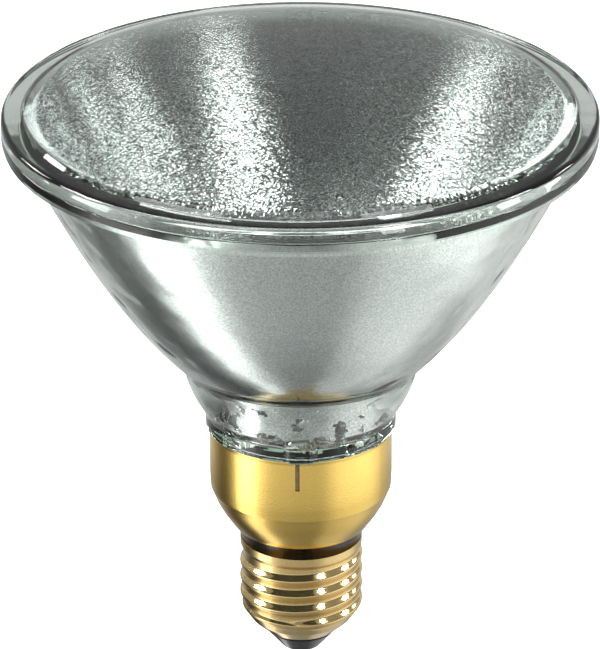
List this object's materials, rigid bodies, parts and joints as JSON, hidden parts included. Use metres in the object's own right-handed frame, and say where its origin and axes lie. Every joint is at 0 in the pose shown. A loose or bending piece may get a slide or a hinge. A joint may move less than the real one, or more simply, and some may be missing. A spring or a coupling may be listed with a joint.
{
  "type": "par spotlight bulb",
  "caption": "Reflector spot lamp with a stippled domed lens, a mirrored glass bowl, a clear neck and a slotted brass skirt over a screw cap.",
  "frame": {"origin": "on the lamp's axis at the flat tip of the solder on the centre contact", "axes": "+Z along the lamp's axis from the cap to the lens; -Y is the front, with a moulded lug and a slot of the skirt; +X is to the right seen from the front"},
  "size_m": [0.122, 0.122, 0.1333],
  "materials": {
    "lens_glass": "clear pressed glass, fine stipple on the inner face",
    "bowl_glass": "clear pressed glass, fire polished",
    "mirror_coating": "bright vapour-deposited aluminium",
    "skirt_brass": "bright drawn brass",
    "basing_cement": "matt baked cement",
    "black_cap_glass": "glossy opaque black glass",
    "shell_brass": "bright rolled brass",
    "contact_brass": "stamped brass",
    "solder": "dull grey solder",
    "lead_wire": "drawn nickel-plated wire",
    "sleeve_weave": "woven glass fibre",
    "quartz": "clear fused quartz",
    "tungsten": "drawn tungsten",
    "molybdenum": "rolled foil and drawn wire",
    "nickel_iron": "drawn cup",
    "nickel_post": "nickel-plated rod"
  },
  "bodies": {
    "root": {"front_lens": "lens_glass", "reflector_bowl": "bowl_glass", "mirror_film": "mirror_coating", "cap_skirt": "skirt_brass", "skirt_cement": "basing_cement", "collar_insulator": "black_cap_glass", "screw_shell": "shell_brass", "base_insulator": "black_cap_glass", "centre_contact": "contact_brass", "centre_solder": "solder", "lead_live": "lead_wire", "lead_sleeve": "sleeve_weave", "lead_shell": "lead_wire", "shell_solder": "solder", "exhaust_tube": "bowl_glass", "burner": "quartz", "filament": "tungsten", "ferrule_left": "nickel_iron", "ferrule_right": "nickel_iron", "post_left": "nickel_post", "post_right": "nickel_post", "foil_left": "molybdenum", "foil_right": "molybdenum", "burner_lead_left": "molybdenum", "burner_lead_right": "molybdenum"}
  },
  "joints": []
}
